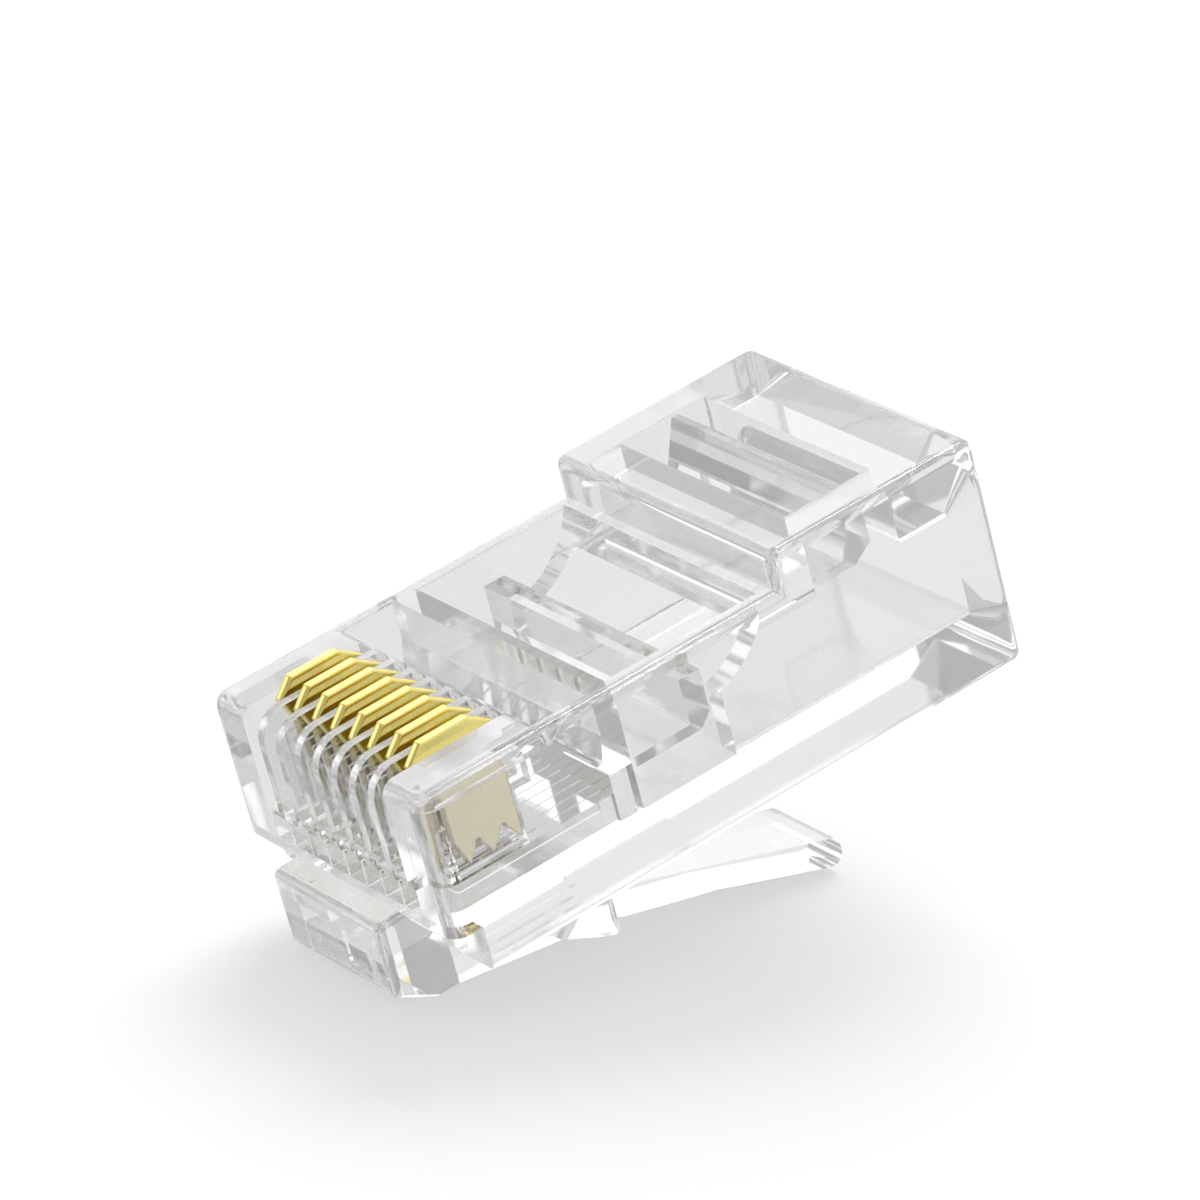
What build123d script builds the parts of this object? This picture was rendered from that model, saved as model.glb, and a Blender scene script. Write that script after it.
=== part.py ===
from build123d import *
import os
from math import asin, atan2, degrees, hypot

# An 8-position modular plug for network cable, before it is crimped.
# The plug is drawn level: X across, Y from the nose face to the cable end, Z up from the underside.
# At the end it is tipped nose down onto its chin and latch tip, which is how it lies on a table.
# All sizes are in millimetres.

# Body outside
width = 11.68
length = 22.1
nose_height = 6.6
boss_height = 8.0
boss_front = 13.95
nose_round = 0.6
edge_round = 0.5
boss_round = 0.4
under_round = 0.3
notch_depth = 1.05
notch_height = 1.59
nose_overlap = 2.0

# Chin, the block under the nose that the latch grows from
chin_width = 6.0
chin_reach = 1.0
chin_top = 1.65
chin_drop = 1.6
chin_front_drop = 0.95
chin_toe = 0.24
chin_rear = 1.2
chin_round = 0.3
chin_toe_round = 0.12
mark_x = 1.4
mark_z = 0.15
mark_width = 1.5
mark_height = 1.3
mark_round = 0.15
mark_depth = 0.1

# Contacts
contact_count = 8
pitch = 1.016
contact_thickness = 0.34
contact_top = 7.05
contact_foot = 6.45
contact_tip = 3.0
contact_notch = 3.72
contact_front = 1.18
contact_rear = 4.45
crown_front = 1.76
crown_rear = 3.55
shank_front = 1.45
shank_rear = 3.82
shank_shoulder = 5.7
prong_centres = (1.83, 2.72, 3.75)
prong_bevel_rise = 1.0
arch_centres = (2.28, 3.24)
arch_width = 0.2
contact_round = 0.08
crimped_top = 6.02

# Contact slots and the fins between them
slot_width = 0.66
slot_rear = 5.1
nose_slot_floor = 3.1
nose_slot_depth = 1.1
slot_step = 5.35
fin_front_round = 1.0
fin_rear_round = 0.45
contact_side_gap = 0.03
contact_end_gap = 0.1
crimp_floor_gap = 0.1

# Wire channels, side by side under the slots
channel_size = 0.9
channel_front = 0.45

# Trough behind the slots
trough_half_width = 5.3
trough_front = 4.95
trough_lip = 5.85
trough_slope_start = 5.2
trough_slope_end = 6.4
trough_floor = 4.3
trough_rear = 6.82
trough_rear_bevel = 0.2
trough_rear_rise = 0.9

# Middle window, the wire chamber under it and the scooped ledges behind it
window_half_width = 5.15
window_front = 7.65
window_rear = 13.0
chamber_front = 7.0
chamber_shelf = 2.1
chamber_ceiling = 3.5
ledge_front = 11.3
scoop_radius = 3.2
scoop_centre_y = 10.5
scoop_centre_z = 7.5

# Cavity for the wires and the cable, its flared mouth and the rear window
cavity_half_width = 4.36
cavity_floor = 1.85
cable_ceiling = 5.6
cavity_round = 0.3
mouth_depth = 1.15
mouth_half_width = 4.8
mouth_floor = 0.95
mouth_ceiling = 6.6
mouth_round = 1.3
rear_window_front = 15.67
rear_window_rear = 19.05

# Wire clamp, a tongue with an upright bar at its free end
wire_tongue_thickness = 0.35
wire_bar_front = 10.0
wire_bar_rear = 10.8
wire_bar_top = 5.45
wire_heel = 0.45
wire_clamp_angle = 15.0

# Jacket clamp, the same idea with a leaning bar
jacket_tongue_thickness = 0.35
jacket_bar_foot = 16.93
jacket_bar_top_front = 17.7
jacket_bar_top_rear = 17.97
jacket_bar_top = 7.95
jacket_heel_front = 17.35
jacket_heel_rear = 18.1
jacket_heel_rise = 0.5
jacket_clamp_angle = 25.0

# Latch
latch_root_thickness = 0.95
latch_neck_y = 5.0
latch_neck_drop = 2.15
latch_shoulder = 7.3
latch_shoulder_top = 1.95
latch_ramp_y = 6.5
latch_ramp_drop = 2.87
latch_catch_drop = 3.15
latch_catch_bevel = 0.35
tongue_width = 3.25
tongue_overlap = 0.6
tongue_knee_y = 8.1
tongue_knee_drop = 3.52
tongue_mid_y = 11.7
tongue_mid_drop = 4.5
tongue_tip_y = 16.35
tongue_tip_top = 5.1
tongue_tip_drop = 6.15
tongue_tip_round = 0.4
latch_angle = 14.0

# Clearance at the three moulded hinges and beside the clamps
hinge_gap = 0.02
clamp_side_gap = 0.06
overshoot = 1.0

half = width / 2
crimp_travel = contact_top - crimped_top


def block(x, y, z):
    """A box between low and high limits on each axis."""
    centre = Pos((x[0] + x[1]) / 2, (y[0] + y[1]) / 2, (z[0] + z[1]) / 2)
    return centre * Box(x[1] - x[0], y[1] - y[0], z[1] - z[0])


def across(half_width, y, z):
    """A box that is symmetric about the middle of the plug."""
    return block((-half_width, half_width), y, z)


def prism(outline, half_width):
    """A side outline of (y, z) points, extruded both ways from the middle of the plug."""
    face = make_face(Polyline(*outline, close=True))
    return extrude(Plane.YZ * face, amount=half_width, both=True)


def contact_x(index):
    """Where contact number index stands across the plug."""
    return (index - (contact_count - 1) / 2) * pitch


# Housing: outside
def rounded_block(size_y, height, corner_radius, top_radius):
    """A full-width block with rounded upright corners, top edges and bottom edges."""
    solid = across(half, size_y, (0, height))
    solid = fillet(solid.edges().filter_by(Axis.Z), corner_radius)
    solid = fillet(solid.edges().group_by(Axis.Z)[-1], top_radius)
    return fillet(solid.edges().group_by(Axis.Z)[0], under_round)


def housing_outside():
    nose = rounded_block((0, boss_front + nose_overlap), nose_height, nose_round, edge_round)
    nose -= across(half, (-overshoot, notch_depth), (-overshoot, notch_height))
    boss = rounded_block((boss_front, length), boss_height, boss_round, boss_round)
    return nose + boss + chin()


def chin():
    outline = [
        (-chin_reach, chin_top),
        (-chin_reach, -chin_front_drop),
        (chin_toe, -chin_drop),
        (chin_rear, -chin_drop),
        (chin_rear, 0),
        (notch_depth, chin_top),
    ]
    solid = prism(outline, chin_width / 2)
    solid = fillet(solid.edges().filter_by(Axis.Z).group_by(Axis.Y)[0], chin_round)
    front = solid.faces().sort_by(Axis.Y)[0]
    solid = fillet(front.edges().group_by(Axis.Z)[-1], chin_round)
    front = solid.faces().sort_by(Axis.Y)[0]
    solid = fillet(front.edges().group_by(Axis.Z)[0], chin_toe_round)
    facing_front = Plane(origin=(mark_x, -chin_reach, mark_z), x_dir=(1, 0, 0), z_dir=(0, -1, 0))
    mark = facing_front * RectangleRounded(mark_width, mark_height, mark_round)
    return solid - extrude(mark, amount=-mark_depth)


# Housing: nose
def contact_slots():
    """Each contact has a wide slot, open at the nose and top, over a narrow one that grips its shank."""
    floor = contact_tip - crimp_travel - crimp_floor_gap
    crown_floor = shank_shoulder - crimp_travel - crimp_floor_gap
    crown = (contact_front - contact_end_gap, contact_rear + contact_end_gap)
    shank = (shank_front - contact_end_gap, shank_rear + contact_end_gap)
    cuts = []
    for index in range(contact_count):
        x = contact_x(index)
        wide = (x - slot_width / 2, x + slot_width / 2)
        grip = contact_thickness / 2 + contact_side_gap
        narrow = (x - grip, x + grip)
        top = nose_height + overshoot
        cuts.append(block(wide, (-overshoot, nose_slot_depth), (nose_slot_floor, top)))
        cuts.append(block(wide, (0, slot_rear), (slot_step, top)))
        cuts.append(block(narrow, crown, (crown_floor, top)))
        cuts.append(block(narrow, shank, (floor, top)))
    return cuts


def wire_channels():
    """Square channels on the cavity's floor that guide each wire under its contact and end blind."""
    cuts = []
    for index in range(contact_count):
        x = contact_x(index)
        side = (x - channel_size / 2, x + channel_size / 2)
        run = (channel_front, chamber_front + overshoot)
        cuts.append(block(side, run, (cavity_floor, cavity_floor + channel_size)))
    return cuts


def trough():
    outline = [
        (trough_front, nose_height + overshoot),
        (trough_front, trough_lip),
        (trough_slope_start, trough_lip),
        (trough_slope_end, trough_floor),
        (trough_rear - trough_rear_bevel, trough_floor),
        (trough_rear, trough_floor + trough_rear_rise),
        (trough_rear, nose_height + overshoot),
    ]
    return prism(outline, trough_half_width)


def fin_ends():
    """Rounds the fins between the contacts: broadly at the nose, and less where they meet the trough."""
    comb = contact_x(contact_count - 1) + slot_width / 2
    return [
        rounded_edge(comb, 0, fin_front_round, 1),
        rounded_edge(trough_half_width, trough_front, fin_rear_round, -1),
    ]


def rounded_edge(half_width, y, radius, inward):
    """What is cut from the nose's top edge at y to round it. The centre lies inward, +1 or -1 along Y."""
    centre_y = y + inward * radius
    centre_z = nose_height - radius
    reach = sorted((centre_y, y - inward * overshoot))
    corner = across(half_width, reach, (centre_z, nose_height + overshoot))
    circle = Pos(centre_y, centre_z) * Circle(radius)
    return corner - extrude(Plane.YZ * circle, amount=half, both=True)


# Housing: middle window
def middle_window():
    top = nose_height + overshoot
    pocket = across(window_half_width, (window_front, ledge_front), (chamber_shelf, top))
    chamber = across(cavity_half_width, (chamber_front, window_front), (cavity_floor, chamber_ceiling))
    well = across(cavity_half_width, (ledge_front - overshoot, window_rear), (chamber_ceiling, top))
    circle = Pos(scoop_centre_y, scoop_centre_z) * Circle(scoop_radius)
    scoop = extrude(Plane.YZ * circle, amount=window_half_width, both=True)
    scoop &= across(half, (scoop_centre_y, boss_front), (chamber_ceiling, top))
    return [pocket, chamber, well, scoop]


# Housing: cable end
def cable_end():
    opening = (cable_ceiling - overshoot, boss_height + overshoot)
    window = across(cavity_half_width, (rear_window_front, rear_window_rear), opening)
    return [cavity(), window]


def section(y, half_width, floor, ceiling, corner):
    """A rounded rectangle across the plug, seen from the cable end."""
    facing_rear = Plane(origin=(0, y, (floor + ceiling) / 2), x_dir=(-1, 0, 0), z_dir=(0, 1, 0))
    return facing_rear * RectangleRounded(2 * half_width, ceiling - floor, corner)


def cavity():
    """The straight bore for the cable, which flares where it leaves the housing."""
    bore = section(window_front, cavity_half_width, cavity_floor, cable_ceiling, cavity_round)
    lip = section(length - mouth_depth, cavity_half_width, cavity_floor, cable_ceiling, cavity_round)
    rim = section(length, mouth_half_width, mouth_floor, mouth_ceiling, mouth_round)
    return extrude(bore, amount=length - window_front + overshoot) + loft([lip, rim])


def housing():
    solid = housing_outside()
    cuts = contact_slots() + wire_channels() + [trough()] + fin_ends() + middle_window() + cable_end()
    return solid - cuts


# Latch
def latch():
    """The springy lever under the plug: root, neck, catch shoulders and thumb tongue."""
    root_y = chin_rear + hinge_gap
    root_top = -chin_drop + latch_root_thickness
    lever = [
        (root_y, root_top),
        (root_y, -chin_drop),
        (latch_neck_y, -latch_neck_drop),
        (latch_ramp_y, -latch_ramp_drop),
        (latch_shoulder, -latch_catch_drop),
        (latch_shoulder, -latch_shoulder_top),
    ]
    shoulders = prism(lever, chin_width / 2)
    toes = shoulders.edges().filter_by(Axis.Z).group_by(Axis.Y)[-1]
    shoulders = chamfer(toes, latch_catch_bevel)
    tongue = [
        (latch_shoulder - tongue_overlap, -latch_shoulder_top),
        (latch_ramp_y, -latch_ramp_drop),
        (tongue_knee_y, -tongue_knee_drop),
        (tongue_mid_y, -tongue_mid_drop),
        (tongue_tip_y, -tongue_tip_drop),
        (tongue_tip_y, -tongue_tip_top),
    ]
    lip = prism(tongue, tongue_width / 2)
    lip = fillet(lip.edges().filter_by(Axis.X).group_by(Axis.Y)[-1], tongue_tip_round)
    return shoulders + lip


# Clamps that the crimping tool folds down onto the wires and the cable jacket
def wire_clamp():
    outline = [
        (window_front + hinge_gap, chamber_ceiling),
        (wire_bar_rear - wire_heel, chamber_ceiling),
        (wire_bar_rear, chamber_ceiling + wire_heel),
        (wire_bar_rear, wire_bar_top),
        (wire_bar_front, wire_bar_top),
        (wire_bar_front, chamber_ceiling + wire_tongue_thickness),
        (window_front + hinge_gap, chamber_ceiling + wire_tongue_thickness),
    ]
    return prism(outline, window_half_width - clamp_side_gap)


def jacket_clamp():
    tongue_top = cable_ceiling + jacket_tongue_thickness
    outline = [
        (rear_window_front + hinge_gap, cable_ceiling),
        (jacket_heel_front, cable_ceiling),
        (jacket_heel_rear, cable_ceiling + jacket_heel_rise),
        (jacket_bar_top_rear, jacket_bar_top),
        (jacket_bar_top_front, jacket_bar_top),
        (jacket_bar_foot, tongue_top),
        (rear_window_front + hinge_gap, tongue_top),
    ]
    return prism(outline, cavity_half_width - clamp_side_gap)


# Contacts
def prongs():
    """What is cut from the foot of a blade to leave three prongs under two rounded arches."""
    gaps = []
    for centre, left, right in zip(arch_centres, prong_centres, prong_centres[1:]):
        gap = make_face(Polyline((left, contact_tip), (right, contact_tip), (centre, contact_notch), close=True))
        arch = Pos(centre, contact_notch - arch_width / 2) * Circle(arch_width / 2)
        gaps.append(Plane.YZ * gap)
        gaps.append(Plane.YZ * arch)
    return [extrude(gap, amount=contact_thickness, both=True) for gap in gaps]


def contact(index):
    """A stamped blade: a crown that meets the socket's spring, and three prongs that pierce the wire."""
    outline = [
        (contact_front, contact_foot),
        (crown_front, contact_top),
        (crown_rear, contact_top),
        (contact_rear, contact_foot),
        (shank_rear, shank_shoulder),
        (shank_rear, contact_tip),
        (prong_centres[0], contact_tip),
        (shank_front, contact_tip + prong_bevel_rise),
        (shank_front, shank_shoulder),
    ]
    blade = prism(outline, contact_thickness / 2) - prongs()
    rim = blade.edges().filter_by(Axis.X, reverse=True)
    blade = fillet(rim.filter_by(lambda edge: edge.center().Z > contact_foot), contact_round)
    return Pos(contact_x(index), 0, 0) * blade


# Rest on the chin and the latch tip
def rest_pose(solids):
    """Tips the plug nose down until chin and latch tip share one level, then centres it on the floor."""
    centre_y = tongue_tip_y - tongue_tip_round
    centre_z = -tongue_tip_drop + tongue_tip_round
    run = centre_y - chin_toe
    rise = -chin_drop - centre_z
    tip = degrees(atan2(rise, run) + asin(tongue_tip_round / hypot(run, rise)))
    turn = Rot(X=tip)
    box = Compound(children=[turn * solid for solid in solids]).bounding_box()
    return Pos(-box.center().X, -box.center().Y, -box.min.Z) * turn


def build():
    parts = {"housing": housing(), "latch": latch()}
    parts["wire_clamp"] = wire_clamp()
    parts["jacket_clamp"] = jacket_clamp()
    for index in range(contact_count):
        parts[f"contact_{index + 1}"] = contact(index)
    return parts


parts = build()
resting = rest_pose(list(parts.values()))
os.makedirs("parts", exist_ok=True)
for name, solid in parts.items():
    export_step(resting * solid, f"parts/{name}.step")
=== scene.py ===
"""Looks of a clear modular plug with eight gold contacts, lying on a white table."""
import math

import bpy
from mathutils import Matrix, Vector

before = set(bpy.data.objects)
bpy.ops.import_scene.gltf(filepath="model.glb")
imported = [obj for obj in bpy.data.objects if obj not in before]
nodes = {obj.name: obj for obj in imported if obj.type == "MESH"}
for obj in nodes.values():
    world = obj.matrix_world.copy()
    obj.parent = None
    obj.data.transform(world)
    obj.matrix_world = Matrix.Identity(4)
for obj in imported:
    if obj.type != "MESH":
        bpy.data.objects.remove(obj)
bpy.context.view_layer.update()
scene = bpy.context.scene
contacts = [name for name in nodes if name.startswith("contact_")]
clear_parts = [name for name in nodes if name not in contacts]

MM = 0.001

# Camera, found from the photograph's corners: a long lens, a little above the table
CAMERA_PLACE = Vector((177.5, -125.724, 87.4)) * MM
CAMERA_TARGET = Vector((-9.99, 6.296, 6.0)) * MM
LENS = 222.8
SENSOR = 36.0
NEAREST = 0.01
FARTHEST = 20.0

# The plug lies nose down by this angle, so its own upward axis leans to the front
NOSE_DOWN = math.radians(16.208)
PLUG_UP = (0.0, -math.sin(NOSE_DOWN), math.cos(NOSE_DOWN))

# Clear polycarbonate: its grey varies slowly, and a slight ripple is left from the mould
TINT_LOW = (0.87, 0.87, 0.868, 1.0)
TINT_HIGH = (0.89, 0.89, 0.888, 1.0)
TINT_SCALE = 220
RIPPLE_SCALE = 330
RIPPLE_STRENGTH = 0.02
RIPPLE_DEPTH = 0.2 * MM
PLASTIC_IOR = 1.585
PLASTIC_ROUGHNESS = 0.055

# Contacts: gold above the plating line, paler metal below it, and edges worn round
GOLD = (1.0, 0.86, 0.30, 1.0)
SHANK = (0.86, 0.80, 0.60, 1.0)
PLATING_LINE = 9.7 * MM
PLATING_BLEND = 0.5 * MM
POLISH_SCALE = 400
SMOOTHEST = 0.12
ROUGHEST = 0.2
EDGE_SOFTNESS = 0.12 * MM
EDGE_SAMPLES = 8

# Table
TABLE_SIZE = 4.0
TABLE_GREY = (0.18, 0.18, 0.18, 1.0)
TABLE_ROUGHNESS = 0.9
TABLE_GLOW = 0.64
WHITE = (1.0, 1.0, 1.0, 1.0)

# The room is pale, and dims towards the dark side between these two agreements with it
ROOM = 0.92
DIM = 0.44
DARK_SIDE = (0.15, -1.0, -0.1)
DARK_START = -0.5
DARK_END = 0.6

# Soft lights of the room: direction, half angle and blurred edge in degrees, strength.
# The first shows in the upward faces, the second in the front edges of the blades and the
# third from above. The last three are low, and keep the plug clear when seen from behind.
SOFTBOXES = (
    ((-0.72, 0.35, 0.60), 30, 8, 0.5),
    ((-0.77, -0.62, 0.11), 11, 4, 0.8),
    ((0.1, -0.2, 1.0), 22, 10, 0.3),
    ((0.5, -0.8, -0.35), 26, 16, 0.35),
    ((-0.5, -0.8, -0.35), 26, 16, 0.35),
    ((1.0, 0.0, -0.2), 20, 14, 0.25),
)

# Lights that cast the shadow: place, size, power, and whether the plug mirrors them
BACK_LIGHT = (Vector((-0.36, 0.42, 0.52)), 0.5, 11.5, False)
KEY_LIGHT = (Vector((-0.05, 0.12, 0.6)), 0.12, 0.3, True)

CLEAR_BOUNCES = 48
DIFFUSE_BOUNCES = 4


def add(tree, kind, **values):
    """A new node with its settings."""
    node = tree.nodes.new(kind)
    for name, value in values.items():
        setattr(node, name, value)
    return node


def new_material(name):
    """A material with one principled shader and nothing linked to it yet."""
    material = bpy.data.materials.new(name)
    material.use_nodes = True
    tree = material.node_tree
    tree.nodes.clear()
    output = add(tree, "ShaderNodeOutputMaterial")
    shader = add(tree, "ShaderNodeBsdfPrincipled")
    tree.links.new(shader.outputs["BSDF"], output.inputs["Surface"])
    return material, tree, shader


def noise(tree, coords, scale, detail):
    node = add(tree, "ShaderNodeTexNoise")
    tree.links.new(coords, node.inputs["Vector"])
    node.inputs["Scale"].default_value = scale
    node.inputs["Detail"].default_value = detail
    return node.outputs["Fac"]


def along(tree, coords, direction):
    """How far a place, or a direction of view, goes along the given direction."""
    node = add(tree, "ShaderNodeVectorMath", operation="DOT_PRODUCT")
    tree.links.new(coords, node.inputs[0])
    node.inputs[1].default_value = Vector(direction).normalized()
    return node.outputs["Value"]


def change(tree, value, start, end, low, high, shape="SMOOTHSTEP"):
    """A change from low to high while the value goes from start to end."""
    node = add(tree, "ShaderNodeMapRange", interpolation_type=shape)
    tree.links.new(value, node.inputs["Value"])
    node.inputs["From Min"].default_value = start
    node.inputs["From Max"].default_value = end
    node.inputs["To Min"].default_value = low
    node.inputs["To Max"].default_value = high
    return node.outputs["Result"]


def mixed_colour(tree, factor, first, second):
    node = add(tree, "ShaderNodeMix", data_type="RGBA")
    tree.links.new(factor, node.inputs["Factor"])
    node.inputs["A"].default_value = first
    node.inputs["B"].default_value = second
    return node.outputs["Result"]


def clear_plastic():
    """Polished clear polycarbonate, with the faint ripple of a moulded face."""
    material, tree, shader = new_material("clear_polycarbonate")
    coords = add(tree, "ShaderNodeTexCoord").outputs["Object"]
    tint = mixed_colour(tree, noise(tree, coords, TINT_SCALE, 2), TINT_LOW, TINT_HIGH)
    tree.links.new(tint, shader.inputs["Base Color"])
    ripple = add(tree, "ShaderNodeBump")
    ripple.inputs["Strength"].default_value = RIPPLE_STRENGTH
    ripple.inputs["Distance"].default_value = RIPPLE_DEPTH
    tree.links.new(noise(tree, coords, RIPPLE_SCALE, 1), ripple.inputs["Height"])
    tree.links.new(ripple.outputs["Normal"], shader.inputs["Normal"])
    shader.inputs["Transmission Weight"].default_value = 1.0
    shader.inputs["IOR"].default_value = PLASTIC_IOR
    shader.inputs["Roughness"].default_value = PLASTIC_ROUGHNESS
    return material


def gold():
    """Gold plating on the crown of each blade, and paler metal on the shank below it."""
    material, tree, shader = new_material("gold_plating")
    coords = add(tree, "ShaderNodeTexCoord").outputs["Object"]
    plated = change(tree, along(tree, coords, PLUG_UP),
                    PLATING_LINE - PLATING_BLEND, PLATING_LINE + PLATING_BLEND, 0.0, 1.0)
    tree.links.new(mixed_colour(tree, plated, SHANK, GOLD), shader.inputs["Base Color"])
    polish = noise(tree, coords, POLISH_SCALE, 1)
    roughness = change(tree, polish, 0.0, 1.0, SMOOTHEST, ROUGHEST, shape="LINEAR")
    tree.links.new(roughness, shader.inputs["Roughness"])
    rounded = add(tree, "ShaderNodeBevel", samples=EDGE_SAMPLES)
    rounded.inputs["Radius"].default_value = EDGE_SOFTNESS
    tree.links.new(rounded.outputs["Normal"], shader.inputs["Normal"])
    shader.inputs["Metallic"].default_value = 1.0
    return material


def assign(material, names):
    for name in names:
        data = nodes[name].data
        data.materials.clear()
        data.materials.append(material)


def table():
    """A lit white table. The plug doesn't mirror it, and shows the room below instead."""
    bpy.ops.mesh.primitive_plane_add(size=TABLE_SIZE)
    plane = bpy.context.object
    plane.name = "table"
    material, _, shader = new_material("white_table")
    shader.inputs["Base Color"].default_value = TABLE_GREY
    shader.inputs["Roughness"].default_value = TABLE_ROUGHNESS
    shader.inputs["Emission Color"].default_value = WHITE
    shader.inputs["Emission Strength"].default_value = TABLE_GLOW
    plane.data.materials.append(material)
    plane.visible_glossy = False
    plane.visible_transmission = False


def area_light(name, place, size, power, mirrored):
    """A round light aimed at the plug."""
    data = bpy.data.lights.new(name, "AREA")
    data.shape = "DISK"
    data.size = size
    data.energy = power
    light = bpy.data.objects.new(name, data)
    light.location = place
    light.rotation_euler = (-place).to_track_quat("-Z", "Y").to_euler()
    light.visible_glossy = mirrored
    light.visible_transmission = mirrored
    scene.collection.objects.link(light)


def softbox(tree, coords, direction, half_angle, edge, strength):
    """A round soft light in the room, with a blurred edge."""
    outer = math.cos(math.radians(half_angle + edge / 2))
    inner = math.cos(math.radians(half_angle - edge / 2))
    return change(tree, along(tree, coords, direction), outer, inner, 0.0, strength)


def room():
    """A studio that is pale behind the plug and grey on the near side, with soft lights."""
    scene.world = bpy.data.worlds.new("studio")
    scene.world.use_nodes = True
    tree = scene.world.node_tree
    background = tree.nodes["Background"]
    coords = add(tree, "ShaderNodeTexCoord").outputs["Generated"]
    total = change(tree, along(tree, coords, DARK_SIDE), DARK_START, DARK_END, ROOM, DIM)
    for light in SOFTBOXES:
        plus = add(tree, "ShaderNodeMath", operation="ADD")
        tree.links.new(total, plus.inputs[0])
        tree.links.new(softbox(tree, coords, *light), plus.inputs[1])
        total = plus.outputs["Value"]
    tree.links.new(total, background.inputs["Strength"])
    background.inputs["Color"].default_value = WHITE


def camera():
    data = bpy.data.cameras.new("camera")
    data.lens = LENS
    data.sensor_width = SENSOR
    data.clip_start = NEAREST
    data.clip_end = FARTHEST
    eye = bpy.data.objects.new("camera", data)
    eye.location = CAMERA_PLACE
    eye.rotation_euler = (CAMERA_TARGET - CAMERA_PLACE).to_track_quat("-Z", "Y").to_euler()
    scene.collection.objects.link(eye)
    scene.camera = eye


def light_paths():
    """Enough bounces for light to come through all the layers of plastic."""
    cycles = scene.cycles
    cycles.max_bounces = CLEAR_BOUNCES
    cycles.transmission_bounces = CLEAR_BOUNCES
    cycles.glossy_bounces = CLEAR_BOUNCES
    cycles.diffuse_bounces = DIFFUSE_BOUNCES
    cycles.caustics_refractive = False
    cycles.caustics_reflective = False
    cycles.use_denoising = True
    scene.view_settings.view_transform = "Standard"


assign(clear_plastic(), clear_parts)
assign(gold(), contacts)
table()
area_light("back", *BACK_LIGHT)
area_light("key", *KEY_LIGHT)
room()
camera()
light_paths()
